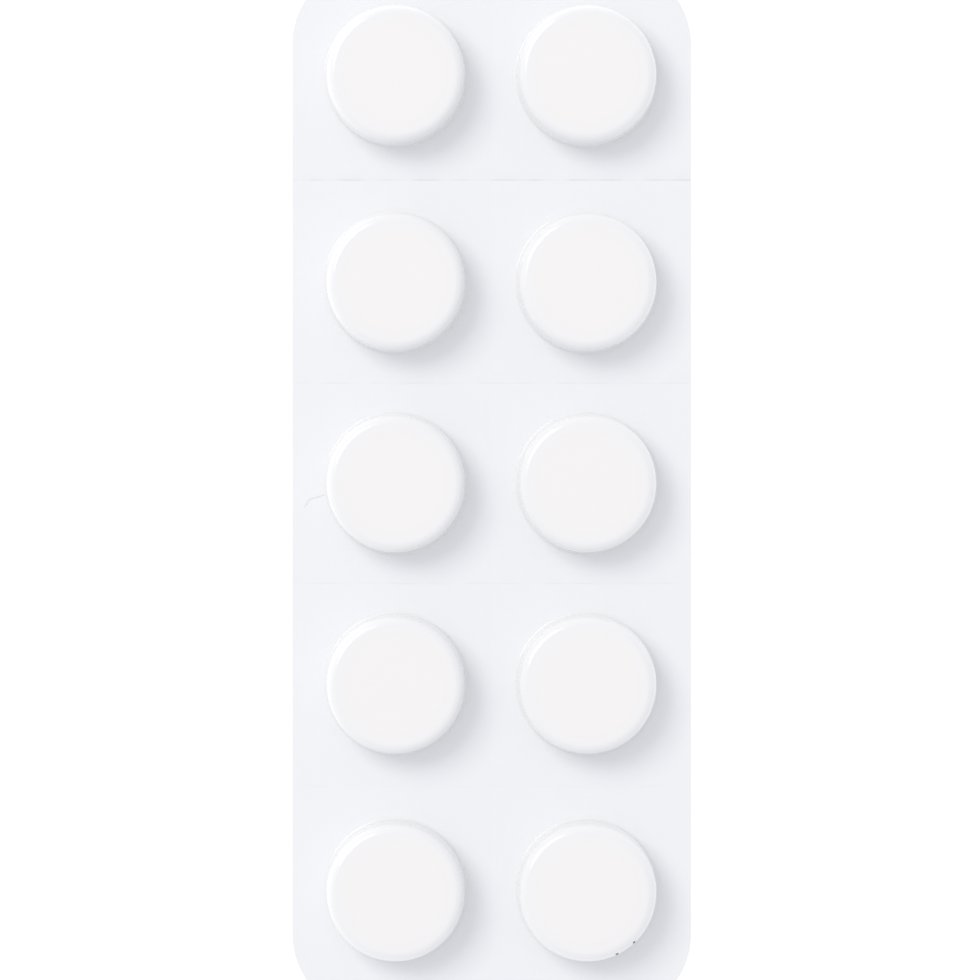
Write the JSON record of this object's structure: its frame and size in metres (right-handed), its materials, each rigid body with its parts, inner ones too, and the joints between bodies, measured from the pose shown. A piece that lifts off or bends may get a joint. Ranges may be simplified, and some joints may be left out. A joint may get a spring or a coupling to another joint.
{
  "type": "blister pack of tablets",
  "caption": "White blister pack: a formed plastic film with round flat-topped pockets in two columns, a foil lidding, and a round tablet in each pocket.",
  "frame": {"origin": "on the underside of the foil, below the middle of the sheet", "axes": "+Z up, out of the pockets; +Y along the sheet's length; +X across it, to the right as seen from above with +Y up"},
  "size_m": [0.0414, 0.1094, 0.005],
  "materials": {
    "film": "milky white thermoformed film, glossy, cool white",
    "foil": "bare aluminium foil, embossed with a fine seal pattern where it is bonded",
    "tablet": "pressed chalky white powder, matt"
  },
  "bodies": {
    "root": {"blister_film": "film", "lidding_foil": "foil", "tablet_row1_left": "tablet", "tablet_row1_right": "tablet", "tablet_row2_left": "tablet", "tablet_row2_right": "tablet", "tablet_row3_left": "tablet", "tablet_row3_right": "tablet", "tablet_row4_left": "tablet", "tablet_row4_right": "tablet", "tablet_row5_left": "tablet", "tablet_row5_right": "tablet"}
  },
  "joints": []
}
